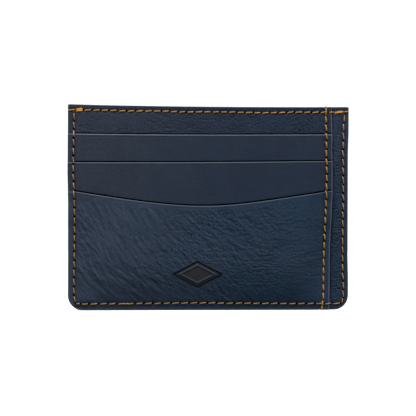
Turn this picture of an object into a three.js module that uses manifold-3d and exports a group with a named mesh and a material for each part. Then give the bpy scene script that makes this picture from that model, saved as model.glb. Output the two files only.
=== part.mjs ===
// Leather card holder: three staggered card pockets on the front, one full-width compartment
// inside that opens at the top. Millimetres, +Z up. The front faces -Y and +X is to the right.
// The origin is in the middle of the bottom edge.
//
// Every layer is a flat sheet parallel to the XZ plane. The layers are stacked from the back
// (+Y) to the front (-Y), with a thin glue line where two are bonded and a real gap where a
// card or a folded note slides in.

import * as THREE from 'three';
import { mergeVertices } from 'three/addons/utils/BufferGeometryUtils.js';
import Module from 'manifold-3d';

const wasm = await Module();
wasm.setup();

// ---------------------------------------------------------------- driving dimensions

const WIDTH = 100;
const HEIGHT = 73;
const BOTTOM_CORNER_RADIUS = 5.3;
const TOP_CORNER_RADIUS = 0.5;

const CARD_THICKNESS = 0.76;
const CARD_EASE = 0.04;
const SLOT_GAP = CARD_THICKNESS + CARD_EASE;
const COMPARTMENT_GAP = 1;
const GLUE_LINE = 0.05;

const BODY_LEATHER = 0.7;
const SLOT_PANEL_LEATHER = 0.4;
const POCKET_LEATHER = 0.45;
const LINING = 0.1;
const LINING_INSET = 0.8;

// The pocket stack is narrower than the base panel, which shows as a strip to its right.
// Its raw edge leans in slightly towards the bottom.
const STACK_EDGE_TOP_X = 44.2;
const STACK_EDGE_BOTTOM_X = 43;

const UPPER_MOUTH_Z = 62.8;
const UPPER_SEAM_Z = 16.5;
const MIDDLE_MOUTH_Z = 52.9;
const MIDDLE_SEAM_Z = 6.5;
const POCKET_FACING_HEIGHT = 20;
const SEAM_ALLOWANCE = 3;
const POCKET_LINING_LEFT_X = -46.8;
const POCKET_LINING_RIGHT_X = 40.3;

// The front pocket's mouth is level for a few millimetres at the left end, then dips.
const FRONT_MOUTH_LEFT_Z = 42;
const FRONT_MOUTH_RIGHT_Z = 42.8;
const FRONT_MOUTH_LEVEL = 3;
const FRONT_MOUTH_LEFT_PULL_X = 47;
const FRONT_MOUTH_LEFT_PULL_Z = 7.3;
const FRONT_MOUTH_RIGHT_PULL_X = 42;
const FRONT_MOUTH_RIGHT_PULL_Z = 6.3;
const LINING_BELOW_MOUTH = 1.2;

// A plain rounded lozenge pressed into the front pocket.
const STAMP_X = -4.3;
const STAMP_Z = 13;
const STAMP_WIDTH = 17.6;
const STAMP_HEIGHT = 9.2;
const STAMP_ROUNDING = 1.6;
const STAMP_DEPTH = 0.2;

const THREAD = 0.5;
const THREAD_FLATTENED = 0.25;
const THREAD_CLEARANCE = 0.05;
const CROSSING_HALF_LENGTH = 0.8;
const TOP_SEAM_Z = 71.1;
const LEFT_SEAM_X = -47.8;
const RIGHT_SEAM_X = 48.2;
const BOTTOM_SEAM_Z = 2.4;
const EDGE_SEAM_TOP_Z = 70.3;
const CORNER_SEAM_RADIUS = 1.2;
const STACK_SEAM_TOP_X = 42.1;
const STACK_SEAM_BOTTOM_X = 40.8;
const GROOVE_MARGIN = 0.15;

const LEFT_X = -WIDTH / 2;
const RIGHT_X = WIDTH / 2;

// ---------------------------------------------------------------- the stack, back to front

// Each layer is [name, thickness, space in front of it].
const LAYERS = [
  ['back_panel', BODY_LEATHER, GLUE_LINE],
  ['back_lining', LINING, COMPARTMENT_GAP],
  ['front_lining', LINING, GLUE_LINE],
  ['base_panel', BODY_LEATHER, GLUE_LINE],
  ['slot_panel', SLOT_PANEL_LEATHER, SLOT_GAP],
  ['upper_pocket_lining', LINING, GLUE_LINE],
  ['upper_pocket', POCKET_LEATHER, SLOT_GAP],
  ['middle_pocket_lining', LINING, GLUE_LINE],
  ['middle_pocket', POCKET_LEATHER, SLOT_GAP],
  ['front_pocket_lining', LINING, GLUE_LINE],
  ['front_pocket', BODY_LEATHER, 0],
];

const STACK_DEPTH = LAYERS.reduce((sum, [, thickness, space]) => sum + thickness + space, 0);

// How far one thread rises to pass over another, and how far the front threads stand proud.
const CROSSING_RISE = THREAD_FLATTENED + THREAD_CLEARANCE;
const FRONT_THREADS_PROUD = THREAD_CLEARANCE + THREAD_FLATTENED + CROSSING_RISE;

const layers = {};
let backY = (STACK_DEPTH + FRONT_THREADS_PROUD) / 2;
for (const [name, thickness, space] of LAYERS) {
  layers[name] = { back: backY, front: backY - thickness, thickness };
  backY -= thickness + space;
}

// ---------------------------------------------------------------- materials

const leather = (color, roughness) =>
  new THREE.MeshStandardMaterial({ color, roughness, metalness: 0 });

const smoothNavy = leather(0x2b3442, 0.55);
const pebbledNavy = leather(0x2c3644, 0.6);
const liningCloth = leather(0x23272f, 0.9);
const tanThread = leather(0xbe8c4b, 0.6);

// ---------------------------------------------------------------- helpers

// The stack's raw right edge at height z.
function stackEdgeX(z) {
  return THREE.MathUtils.lerp(STACK_EDGE_BOTTOM_X, STACK_EDGE_TOP_X, z / HEIGHT);
}

// The stack seam's place at height z.
function stackSeamX(z) {
  return THREE.MathUtils.lerp(STACK_SEAM_BOTTOM_X, STACK_SEAM_TOP_X, z / HEIGHT);
}

// Adds a rounded lower left corner to an outline that runs down the left side.
function roundLowerLeft(shape, left, bottom, radius) {
  shape.lineTo(left, bottom + radius);
  shape.absarc(left + radius, bottom + radius, radius, Math.PI, 1.5 * Math.PI, false);
}

// The whole outline, moved in by inset, with two round bottom corners.
function bodyOutline(inset = 0) {
  const left = LEFT_X + inset;
  const right = RIGHT_X - inset;
  const radius = BOTTOM_CORNER_RADIUS - inset;
  const top = HEIGHT - inset;
  const shape = new THREE.Shape();
  shape.moveTo(left + TOP_CORNER_RADIUS, top);
  shape.absarc(left + TOP_CORNER_RADIUS, top - TOP_CORNER_RADIUS, TOP_CORNER_RADIUS,
    0.5 * Math.PI, Math.PI, false);
  roundLowerLeft(shape, left, inset, radius);
  shape.lineTo(right - radius, inset);
  shape.absarc(right - radius, inset + radius, radius, 1.5 * Math.PI, 2 * Math.PI, false);
  shape.lineTo(right, top - TOP_CORNER_RADIUS);
  shape.absarc(right - TOP_CORNER_RADIUS, top - TOP_CORNER_RADIUS, TOP_CORNER_RADIUS,
    0, 0.5 * Math.PI, false);
  return shape;
}

// The panel behind the pockets, which covers the whole stack.
function slotPanelOutline() {
  const shape = new THREE.Shape();
  shape.moveTo(LEFT_X, HEIGHT);
  roundLowerLeft(shape, LEFT_X, 0, BOTTOM_CORNER_RADIUS);
  shape.lineTo(stackEdgeX(0), 0);
  shape.lineTo(stackEdgeX(HEIGHT), HEIGHT);
  return shape;
}

// A straight strip of leather that runs into the seams at both ends.
function facingOutline(mouthZ) {
  const bottomZ = mouthZ - POCKET_FACING_HEIGHT;
  const shape = new THREE.Shape();
  shape.moveTo(LEFT_X, mouthZ);
  shape.lineTo(LEFT_X, bottomZ);
  shape.lineTo(stackEdgeX(bottomZ), bottomZ);
  shape.lineTo(stackEdgeX(mouthZ), mouthZ);
  return shape;
}

// The cloth body of a pocket, between the side seams, down to just under its own seam.
function pocketLiningOutline(mouthZ, seamZ) {
  const top = mouthZ - LINING_BELOW_MOUTH;
  const bottom = seamZ - SEAM_ALLOWANCE;
  const shape = new THREE.Shape();
  shape.moveTo(POCKET_LINING_LEFT_X, top);
  shape.lineTo(POCKET_LINING_LEFT_X, bottom);
  shape.lineTo(POCKET_LINING_RIGHT_X, bottom);
  shape.lineTo(POCKET_LINING_RIGHT_X, top);
  return shape;
}

// The front pocket, whose mouth dips in the middle.
function frontPocketOutline() {
  const rightX = stackEdgeX(FRONT_MOUTH_RIGHT_Z);
  const levelX = LEFT_X + FRONT_MOUTH_LEVEL;
  const shape = new THREE.Shape();
  shape.moveTo(levelX, FRONT_MOUTH_LEFT_Z);
  shape.lineTo(LEFT_X, FRONT_MOUTH_LEFT_Z);
  roundLowerLeft(shape, LEFT_X, 0, BOTTOM_CORNER_RADIUS);
  shape.lineTo(stackEdgeX(0), 0);
  shape.lineTo(rightX, FRONT_MOUTH_RIGHT_Z);
  shape.bezierCurveTo(
    rightX - FRONT_MOUTH_RIGHT_PULL_X, FRONT_MOUTH_RIGHT_Z - FRONT_MOUTH_RIGHT_PULL_Z,
    levelX + FRONT_MOUTH_LEFT_PULL_X, FRONT_MOUTH_LEFT_Z - FRONT_MOUTH_LEFT_PULL_Z,
    levelX, FRONT_MOUTH_LEFT_Z);
  return shape;
}

// The cloth behind the front pocket, between the side seams and under the dipping mouth.
function frontPocketLiningOutline() {
  const shape = new THREE.Shape();
  const top = FRONT_MOUTH_LEFT_Z - LINING_BELOW_MOUTH;
  shape.moveTo(POCKET_LINING_LEFT_X, top);
  shape.lineTo(POCKET_LINING_LEFT_X, BOTTOM_SEAM_Z + SEAM_ALLOWANCE);
  shape.lineTo(POCKET_LINING_RIGHT_X, BOTTOM_SEAM_Z + SEAM_ALLOWANCE);
  shape.lineTo(POCKET_LINING_RIGHT_X, top);
  shape.bezierCurveTo(
    POCKET_LINING_RIGHT_X - FRONT_MOUTH_RIGHT_PULL_X, top - FRONT_MOUTH_RIGHT_PULL_Z,
    POCKET_LINING_LEFT_X + FRONT_MOUTH_LEFT_PULL_X, top - FRONT_MOUTH_LEFT_PULL_Z,
    POCKET_LINING_LEFT_X, top);
  return shape;
}

// A lozenge with rounded corners.
function stampOutline() {
  const halfWidth = STAMP_WIDTH / 2;
  const halfHeight = STAMP_HEIGHT / 2;
  const tips = [[halfWidth, 0], [0, halfHeight], [-halfWidth, 0], [0, -halfHeight]];
  const side = Math.hypot(halfWidth, halfHeight);
  const blend = STAMP_ROUNDING / side;
  const shape = new THREE.Shape();
  tips.forEach(([x, z], i) => {
    const [beforeX, beforeZ] = tips[(i + 3) % 4];
    const [afterX, afterZ] = tips[(i + 1) % 4];
    const startX = STAMP_X + THREE.MathUtils.lerp(x, beforeX, blend);
    const startZ = STAMP_Z + THREE.MathUtils.lerp(z, beforeZ, blend);
    const endX = STAMP_X + THREE.MathUtils.lerp(x, afterX, blend);
    const endZ = STAMP_Z + THREE.MathUtils.lerp(z, afterZ, blend);
    if (i === 0) shape.moveTo(startX, startZ);
    else shape.lineTo(startX, startZ);
    shape.quadraticCurveTo(STAMP_X + x, STAMP_Z + z, endX, endZ);
  });
  return shape;
}

// A flat sheet with an XZ outline: its rear face is at y = back and it grows towards -Y.
function sheetGeometry(outline, back, thickness) {
  const geometry = new THREE.ExtrudeGeometry(outline, {
    depth: thickness,
    bevelEnabled: false,
    curveSegments: 10,
  });
  geometry.rotateX(Math.PI / 2);
  geometry.translate(0, back, 0);
  return geometry;
}

function toManifold(geometry) {
  const bare = geometry.clone();
  bare.deleteAttribute('normal');
  bare.deleteAttribute('uv');
  const merged = mergeVertices(bare, 1e-4);
  return new wasm.Manifold(new wasm.Mesh({
    numProp: 3,
    vertProperties: new Float32Array(merged.attributes.position.array),
    triVerts: new Uint32Array(merged.index.array),
  }));
}

function toGeometry(solid) {
  const { vertProperties, triVerts } = solid.getMesh();
  const geometry = new THREE.BufferGeometry();
  geometry.setAttribute('position', new THREE.BufferAttribute(vertProperties, 3));
  geometry.setIndex(new THREE.BufferAttribute(triVerts, 1));
  geometry.computeVertexNormals();
  return geometry;
}

// A bar of square-cornered section along a chain of points: one box for each stretch, each
// run on by half the bar's width so that the corners close up. inY is the size along Y.
function barSolid(points, across, inY) {
  let solid = null;
  for (let i = 0; i + 1 < points.length; i += 1) {
    const start = new THREE.Vector3(...points[i]);
    const end = new THREE.Vector3(...points[i + 1]);
    const along = end.clone().sub(start);
    const stepsInY = Math.abs(along.y) > Math.hypot(along.x, along.z);
    const box = stepsInY
      ? new THREE.BoxGeometry(across, Math.abs(along.y) + inY, across)
      : new THREE.BoxGeometry(along.length() + across, inY, across);
    if (!stepsInY) box.rotateY(Math.atan2(-along.z, along.x));
    const middle = start.add(end).multiplyScalar(0.5);
    box.translate(middle.x, middle.y, middle.z);
    solid = solid ? solid.add(toManifold(box)) : toManifold(box);
  }
  return solid;
}

const threadSolid = (points) => barSolid(points, THREAD, THREAD_FLATTENED);

const holder = new THREE.Group();

function addPiece(name, geometry, material) {
  const mesh = new THREE.Mesh(geometry, material.clone());
  mesh.name = name;
  holder.add(mesh);
}

function addSheet(name, outline, material) {
  const { back, thickness } = layers[name];
  addPiece(name, sheetGeometry(outline, back, thickness), material);
}

// ---------------------------------------------------------------- seam paths

// Centre plane of a thread that lies on the front face of a layer.
const onFront = (name) => layers[name].front - THREAD_CLEARANCE - THREAD_FLATTENED / 2;

// Points up the stack from startZ to endZ, stepping back to the next layer above each mouth.
function climbStack(xAt, startZ, endZ, frontMouthZ) {
  const steps = [
    ['front_pocket', frontMouthZ, 'middle_pocket'],
    ['middle_pocket', MIDDLE_MOUTH_Z, 'upper_pocket'],
    ['upper_pocket', UPPER_MOUTH_Z, 'slot_panel'],
  ];
  const points = [[xAt(startZ), onFront('front_pocket'), startZ]];
  for (const [below, mouthZ, above] of steps) {
    const z = mouthZ + THREAD_CLEARANCE + THREAD / 2;
    points.push([xAt(z), onFront(below), z]);
    points.push([xAt(z), onFront(above), z]);
  }
  points.push([xAt(endZ), onFront('slot_panel'), endZ]);
  return points;
}

// A quarter turn between the upright and the level stretch of the edge seam.
function cornerTurn(centreX, y, startAngle, endAngle, steps = 4) {
  const centreZ = BOTTOM_SEAM_Z + CORNER_SEAM_RADIUS;
  return Array.from({ length: steps + 1 }, (_, i) => {
    const angle = THREE.MathUtils.lerp(startAngle, endAngle, i / steps);
    return [
      centreX + CORNER_SEAM_RADIUS * Math.cos(angle),
      y,
      centreZ + CORNER_SEAM_RADIUS * Math.sin(angle),
    ];
  });
}

const leftTurnX = LEFT_SEAM_X + CORNER_SEAM_RADIUS;
const rightTurnX = RIGHT_SEAM_X - CORNER_SEAM_RADIUS;

// The edge seam on the front: down the left side, along the bottom over the stack seam and
// off the stack's raw edge, then up the strip on the right.
function edgeSeamFront() {
  const stackY = onFront('front_pocket');
  const stripY = onFront('base_panel');
  const offStackX = stackEdgeX(BOTTOM_SEAM_Z) + THREAD_CLEARANCE + THREAD / 2;
  const crossingX = stackSeamX(BOTTOM_SEAM_Z);
  const leftSide = climbStack(() => LEFT_SEAM_X, BOTTOM_SEAM_Z + CORNER_SEAM_RADIUS,
    EDGE_SEAM_TOP_Z, FRONT_MOUTH_LEFT_Z).reverse();
  return [
    ...leftSide,
    ...cornerTurn(leftTurnX, stackY, Math.PI, 1.5 * Math.PI),
    [crossingX - CROSSING_HALF_LENGTH, stackY, BOTTOM_SEAM_Z],
    [crossingX - CROSSING_HALF_LENGTH, stackY - CROSSING_RISE, BOTTOM_SEAM_Z],
    [crossingX + CROSSING_HALF_LENGTH, stackY - CROSSING_RISE, BOTTOM_SEAM_Z],
    [crossingX + CROSSING_HALF_LENGTH, stackY, BOTTOM_SEAM_Z],
    [offStackX, stackY, BOTTOM_SEAM_Z],
    [offStackX, stripY, BOTTOM_SEAM_Z],
    ...cornerTurn(rightTurnX, stripY, 1.5 * Math.PI, 2 * Math.PI),
    [RIGHT_SEAM_X, stripY, EDGE_SEAM_TOP_Z],
  ];
}

// The same seam on the back, where it lies in one plane.
function edgeSeamBack(y) {
  return [
    [LEFT_SEAM_X, y, EDGE_SEAM_TOP_Z],
    ...cornerTurn(leftTurnX, y, Math.PI, 1.5 * Math.PI),
    ...cornerTurn(rightTurnX, y, 1.5 * Math.PI, 2 * Math.PI),
    [RIGHT_SEAM_X, y, EDGE_SEAM_TOP_Z],
  ];
}

// The top seam from side to side, over the stack seam. side is -1 in front of it, 1 behind.
function topSeam(stackY, stripY, side) {
  const crossingX = stackSeamX(TOP_SEAM_Z);
  const offStackX = stackEdgeX(TOP_SEAM_Z) + THREAD_CLEARANCE + THREAD / 2;
  const raised = stackY + side * CROSSING_RISE;
  return [
    [LEFT_X + THREAD / 2, stackY, TOP_SEAM_Z],
    [crossingX - CROSSING_HALF_LENGTH, stackY, TOP_SEAM_Z],
    [crossingX - CROSSING_HALF_LENGTH, raised, TOP_SEAM_Z],
    [crossingX + CROSSING_HALF_LENGTH, raised, TOP_SEAM_Z],
    [crossingX + CROSSING_HALF_LENGTH, stackY, TOP_SEAM_Z],
    [offStackX, stackY, TOP_SEAM_Z],
    [offStackX, stripY, TOP_SEAM_Z],
    [RIGHT_X - THREAD / 2, stripY, TOP_SEAM_Z],
  ];
}

// ---------------------------------------------------------------- leather and cloth

// The rear threads lie pressed into the back panel, so that its face stays flat to lie on.
const backThreadY = layers.back_panel.back - THREAD_FLATTENED / 2;
const groove = (points) =>
  barSolid(points, THREAD + 2 * GROOVE_MARGIN, THREAD_FLATTENED + 2 * GROOVE_MARGIN);

const backTopSeam = (y) => [
  [LEFT_X + THREAD / 2, y, TOP_SEAM_Z],
  [RIGHT_X - THREAD / 2, y, TOP_SEAM_Z],
];

const backPanelSolid = toManifold(sheetGeometry(bodyOutline(), layers.back_panel.back, BODY_LEATHER))
  .subtract(groove(edgeSeamBack(backThreadY)))
  .subtract(groove(backTopSeam(backThreadY)));
addPiece('back_panel', toGeometry(backPanelSolid), pebbledNavy);

addSheet('back_lining', bodyOutline(LINING_INSET), liningCloth);
addSheet('front_lining', bodyOutline(LINING_INSET), liningCloth);
addSheet('base_panel', bodyOutline(), smoothNavy);
addSheet('slot_panel', slotPanelOutline(), smoothNavy);
addSheet('upper_pocket_lining', pocketLiningOutline(UPPER_MOUTH_Z, UPPER_SEAM_Z), liningCloth);
addSheet('upper_pocket', facingOutline(UPPER_MOUTH_Z), smoothNavy);
addSheet('middle_pocket_lining', pocketLiningOutline(MIDDLE_MOUTH_Z, MIDDLE_SEAM_Z), liningCloth);
addSheet('middle_pocket', facingOutline(MIDDLE_MOUTH_Z), smoothNavy);
addSheet('front_pocket_lining', frontPocketLiningOutline(), liningCloth);

const stampCutter = sheetGeometry(stampOutline(), layers.front_pocket.front + STAMP_DEPTH,
  STAMP_DEPTH + 1);
const frontPocketSolid = toManifold(
  sheetGeometry(frontPocketOutline(), layers.front_pocket.back, BODY_LEATHER))
  .subtract(toManifold(stampCutter));
addPiece('front_pocket', toGeometry(frontPocketSolid), pebbledNavy);

// ---------------------------------------------------------------- thread

function addThread(name, points) {
  addPiece(name, toGeometry(threadSolid(points)), tanThread);
}

// Each seam is a lock stitch: a needle thread on the face and a bobbin thread behind it.
const insideY = layers.front_lining.back + THREAD_CLEARANCE + THREAD_FLATTENED / 2;

const seamEnd = THREAD / 2 + THREAD_CLEARANCE;
addThread('stack_seam_needle_thread',
  climbStack(stackSeamX, seamEnd, HEIGHT - seamEnd, FRONT_MOUTH_RIGHT_Z));
addThread('stack_seam_bobbin_thread', [
  [stackSeamX(0), insideY, LINING_INSET + seamEnd],
  [stackSeamX(HEIGHT), insideY, HEIGHT - LINING_INSET - seamEnd],
]);

addThread('top_seam_needle_thread', topSeam(onFront('slot_panel'), onFront('base_panel'), -1));
addThread('top_seam_bobbin_thread', topSeam(insideY, insideY, 1));

addThread('edge_seam_needle_thread', edgeSeamFront());
addThread('edge_seam_bobbin_thread', edgeSeamBack(backThreadY));

addThread('back_top_seam_needle_thread', backTopSeam(backThreadY));
addThread('back_top_seam_bobbin_thread',
  backTopSeam(layers.back_lining.front - THREAD_CLEARANCE - THREAD_FLATTENED / 2));

// The hidden seams that close the upper and middle pockets at the bottom.
function addPocketSeam(name, liningName, seamZ) {
  const y = onFront(liningName);
  addThread(name, [
    [POCKET_LINING_LEFT_X + THREAD, y, seamZ],
    [POCKET_LINING_RIGHT_X - THREAD, y, seamZ],
  ]);
}

addPocketSeam('upper_pocket_seam_thread', 'upper_pocket_lining', UPPER_SEAM_Z);
addPocketSeam('middle_pocket_seam_thread', 'middle_pocket_lining', MIDDLE_SEAM_Z);

export default holder;
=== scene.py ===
"""The looks of a leather card holder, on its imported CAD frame.

Leather and cloth are closed sheets, made on a grid that is finer along seams, holes and edges.
They lie pressed together at the seams and reach the CAD planes between them. Every thread is a
row of twisted stitches that run from needle hole to needle hole. Lengths are in millimetres
until a mesh is made. x runs to the right, z up, and y towards the back of the holder.
"""

import math

import bpy
import numpy as np
from mathutils import Matrix, Vector


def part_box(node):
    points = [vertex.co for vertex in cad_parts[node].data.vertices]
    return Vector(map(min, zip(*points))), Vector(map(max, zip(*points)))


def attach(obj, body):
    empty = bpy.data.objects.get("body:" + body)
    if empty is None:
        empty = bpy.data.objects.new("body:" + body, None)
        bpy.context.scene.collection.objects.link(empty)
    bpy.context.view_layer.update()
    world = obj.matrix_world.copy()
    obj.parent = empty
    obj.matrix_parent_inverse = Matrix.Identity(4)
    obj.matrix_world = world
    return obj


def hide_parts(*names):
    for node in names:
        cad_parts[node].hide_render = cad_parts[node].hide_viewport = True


MM = 0.001

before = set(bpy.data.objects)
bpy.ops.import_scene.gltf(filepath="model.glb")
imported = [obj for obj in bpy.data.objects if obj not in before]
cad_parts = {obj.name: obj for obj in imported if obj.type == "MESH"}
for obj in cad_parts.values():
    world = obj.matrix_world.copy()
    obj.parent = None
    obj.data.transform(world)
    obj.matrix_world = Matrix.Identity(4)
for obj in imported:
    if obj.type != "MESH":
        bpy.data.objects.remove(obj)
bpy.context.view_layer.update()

# ---------------------------------------------------------------- sizes from the frame


def cad_span(node):
    """Lowest and highest corner of a CAD node, in millimetres."""
    low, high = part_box(node)
    return np.array(low) / MM, np.array(high) / MM


(LEFT, _, BOTTOM), (RIGHT, _, TOP) = cad_span("base_panel")
HEIGHT = TOP - BOTTOM
BODY_LAYERS = ["back_panel", "back_lining", "front_lining", "base_panel", "slot_panel"]
POCKETS = ["upper_pocket", "middle_pocket", "front_pocket"]
POCKET_LAYERS = [layer for pocket in POCKETS for layer in (pocket + "_lining", pocket)]
LAYERS = BODY_LAYERS + POCKET_LAYERS
CAD_FRONT = {name: cad_span(name)[0][1] for name in LAYERS}
CAD_BACK = {name: cad_span(name)[1][1] for name in LAYERS}
CAD_BOTTOM = {name: cad_span(name)[0][2] for name in LAYERS}
THICKNESS = {name: CAD_BACK[name] - CAD_FRONT[name] for name in LAYERS}
UPPER_MOUTH = cad_span("upper_pocket")[1][2]
MIDDLE_MOUTH = cad_span("middle_pocket")[1][2]
FRONT_MOUTH_RIGHT = cad_span("front_pocket")[1][2]
STACK_EDGE_TOP = cad_span("slot_panel")[1][0]

# The rest repeats the CAD model's own dimensions.
FRONT_MOUTH_LEFT = 42.0
FRONT_MOUTH_LEVEL = 3.0
FRONT_MOUTH_LEFT_PULL = (47.0, 7.3)
FRONT_MOUTH_RIGHT_PULL = (42.0, 6.3)
STACK_EDGE_BOTTOM = STACK_EDGE_TOP - 1.2
CORNER_RADIUS = 5.3
TOP_CORNER_RADIUS = 0.5
STAMP_CENTRE = (-4.3, 13.0)
STAMP_SIZE = (17.6, 9.2)
LINING_INSET = 0.8
TOP_SEAM_Z = 71.1
LEFT_SEAM_X = -47.8
RIGHT_SEAM_X = 48.2
BOTTOM_SEAM_Z = 2.4
EDGE_SEAM_TOP = 70.3
CORNER_SEAM_RADIUS = 1.2
STACK_SEAM_TOP = 42.1
STACK_SEAM_BOTTOM = 40.8

# ---------------------------------------------------------------- smooth helpers


def ramp(value, low, high):
    """0 at low, 1 at high, with level ends."""
    t = np.clip((value - low) / (high - low), 0.0, 1.0)
    return t * t * (3.0 - 2.0 * t)


def level(value):
    """A function that is the same everywhere, for an edge, an angle or a stretch."""
    return lambda along, *_: value + 0.0 * along


def bump_at(value, width):
    """A smooth bump of height 1 round 0."""
    return np.exp(-((value / width) ** 2))


def value_noise(x, z, size, seed):
    """Smooth noise between -1 and 1 whose features are about size across."""
    table = np.random.RandomState(seed).uniform(-1.0, 1.0, (256, 256))
    u, v = x / size + 40.0, z / size + 40.0
    i, j = np.floor(u).astype(int), np.floor(v).astype(int)
    fu, fv = u - i, v - j
    fu, fv = fu * fu * (3 - 2 * fu), fv * fv * (3 - 2 * fv)
    i0, j0, i1, j1 = i % 256, j % 256, (i + 1) % 256, (j + 1) % 256
    lower = table[i0, j0] * (1 - fu) + table[i1, j0] * fu
    upper = table[i0, j1] * (1 - fu) + table[i1, j1] * fu
    return lower * (1 - fv) + upper * fv


# ---------------------------------------------------------------- outlines


def stack_bow(z):
    """How far the stack's raw edge and its seam bow out from a straight line."""
    return 0.5 * bump_at(z - 43.0, 16.0) - 0.35 * ramp(z, 60.0, 73.0)


def stack_edge(z):
    """The raw right edge of the pocket stack."""
    straight = STACK_EDGE_BOTTOM + (STACK_EDGE_TOP - STACK_EDGE_BOTTOM) * (z - BOTTOM) / HEIGHT
    return straight + stack_bow(z)


def stack_seam(z):
    """The upright seam that holds the stack, with the small wander of a hand-guided seam."""
    straight = STACK_SEAM_BOTTOM + (STACK_SEAM_TOP - STACK_SEAM_BOTTOM) * (z - BOTTOM) / HEIGHT
    return straight + stack_bow(z) + 0.05 * np.sin(z / 3.7 + 1.0) - 0.5 * ramp(z, 6.0, 1.0)


def top_seam(x):
    """The level seam under the top edge."""
    return TOP_SEAM_Z + 0.05 * np.sin(x / 4.1) - 0.2 * bump_at(x - 20.0, 10.0)


def upper_mouth(x):
    """The upper pocket's mouth, which climbs a little to the right."""
    return UPPER_MOUTH + 0.006 * x


def middle_mouth(x):
    return MIDDLE_MOUTH + 0.0115 * x


def bezier_mouth():
    """Points of the front pocket's mouth, left to right: a level start, then one dipping curve."""
    start_x = LEFT + FRONT_MOUTH_LEVEL
    end_x = stack_edge(FRONT_MOUTH_RIGHT)
    (left_x, left_z), (right_x, right_z) = FRONT_MOUTH_LEFT_PULL, FRONT_MOUTH_RIGHT_PULL
    t = np.linspace(0.0, 1.0, 400)
    weights = [(1 - t) ** 3, 3 * t * (1 - t) ** 2, 3 * t**2 * (1 - t), t**3]
    xs = [start_x, start_x + left_x, end_x - right_x, end_x]
    left, right = FRONT_MOUTH_LEFT, FRONT_MOUTH_RIGHT
    zs = [left, left - left_z, right - right_z, right]
    x = sum(w * c for w, c in zip(weights, xs))
    z = sum(w * c for w, c in zip(weights, zs))
    return np.concatenate([[LEFT - 1.0], x, [RIGHT]]), np.concatenate([[left], z, [right]])


MOUTH_CURVE = bezier_mouth()


def front_mouth(x):
    return np.interp(x, *MOUTH_CURVE)


def outline_bottom(x, inset=0.0):
    """The bottom edge, which turns up at the two round corners."""
    radius = CORNER_RADIUS - inset
    depth = np.clip(CORNER_RADIUS - np.minimum(x - LEFT, RIGHT - x), 0.0, radius)
    return BOTTOM + CORNER_RADIUS - np.sqrt(radius**2 - depth**2)


def nicked_bottom(x):
    """The bottom edge of the front half, nicked where the stack seam's thread goes round it."""
    return outline_bottom(x) + 0.4 * bump_at(x - stack_seam(BOTTOM), 0.5)


def outline_top(x, inset=0.0):
    """The top edge, which turns down at its two slightly eased corners."""
    inside = np.minimum(x - LEFT, RIGHT - x) - inset
    depth = np.clip(TOP_CORNER_RADIUS - inside, 0.0, TOP_CORNER_RADIUS)
    return TOP - inset - TOP_CORNER_RADIUS + np.sqrt(TOP_CORNER_RADIUS**2 - depth**2)


def nicked_top(x):
    """The top edge of the front half, nicked in the same way."""
    return outline_top(x) - 0.3 * bump_at(x - stack_seam(TOP), 0.5)


def corner_distance(x, z, inset=0.0):
    """Distance in from the round lower corners, and large elsewhere."""
    reach = np.minimum(x - LEFT, RIGHT - x) - CORNER_RADIUS
    rise = z - BOTTOM - CORNER_RADIUS
    inside = CORNER_RADIUS - inset - np.hypot(reach, rise)
    return np.where((reach < 0) & (rise < 0), inside, 1e3)


def outline_distance(x, z):
    """Distance in from the whole outline."""
    sides = np.minimum.reduce([x - LEFT, RIGHT - x, z - BOTTOM, TOP - z])
    return np.minimum(sides, corner_distance(x, z))


def edge_seam_distance(x, z):
    """Distance from the U-shaped seam's line, positive towards the middle of the holder."""
    to_sides = np.minimum(x - LEFT_SEAM_X, RIGHT_SEAM_X - x)
    to_bottom = z - BOTTOM_SEAM_Z
    radius = CORNER_SEAM_RADIUS
    in_corner = (to_sides < radius) & (to_bottom < radius)
    corner = radius - np.hypot(np.minimum(to_sides - radius, 0), np.minimum(to_bottom - radius, 0))
    return np.where(in_corner, corner, np.minimum(to_sides, to_bottom))


def hand_cut(points):
    """Moves points, in millimetres, by the slight unevenness of the real outline: the top sags
    between its ends, and the sides bow."""
    x, z = points[:, 0], points[:, 2]
    up = (z - BOTTOM) / HEIGHT
    sag = 0.33 * np.cos(0.5 * np.pi * np.clip(x / RIGHT, -1.0, 1.0)) * ramp(x, RIGHT, RIGHT - 12.0)
    left = -0.24 * ramp(x, -20.0, LEFT) * ramp(z, 38.0, 50.0)
    right = 0.22 * ramp(x, 25.0, RIGHT) * (ramp(z, 55.0, 66.0) + ramp(z, 24.0, 8.0))
    moved = points.copy()
    moved[:, 0] += left + right
    moved[:, 2] += 0.1 * (1.0 - up) * ramp(x, RIGHT, RIGHT - 8.0) - sag * up
    return moved


# ---------------------------------------------------------------- how the layers lie

PRESS_GAP = 0.03
COME_DOWN = 5.0
SEAM_REACH = 15.0
STACK_REACH = 11.0
POCKET_LININGS = [name for name in POCKET_LAYERS if name.endswith("lining")]


def pressed_stack():
    """Each body layer's front plane where all layers are pressed together, centred on the CAD
    stack."""
    leather = [name for name in LAYERS if name not in POCKET_LININGS]
    depth = sum(THICKNESS[name] + PRESS_GAP for name in leather) - PRESS_GAP
    back = (CAD_BACK["back_panel"] + CAD_FRONT["front_pocket"] + depth) / 2
    fronts = {}
    for name in BODY_LAYERS:
        fronts[name] = back - THICKNESS[name]
        back = fronts[name] - PRESS_GAP
    return fronts


PRESSED_FRONT = pressed_stack()
POCKET_LINING_LEFT = cad_span("upper_pocket_lining")[0][0]
POCKET_LINING_RIGHT = cad_span("upper_pocket_lining")[1][0]


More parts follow.
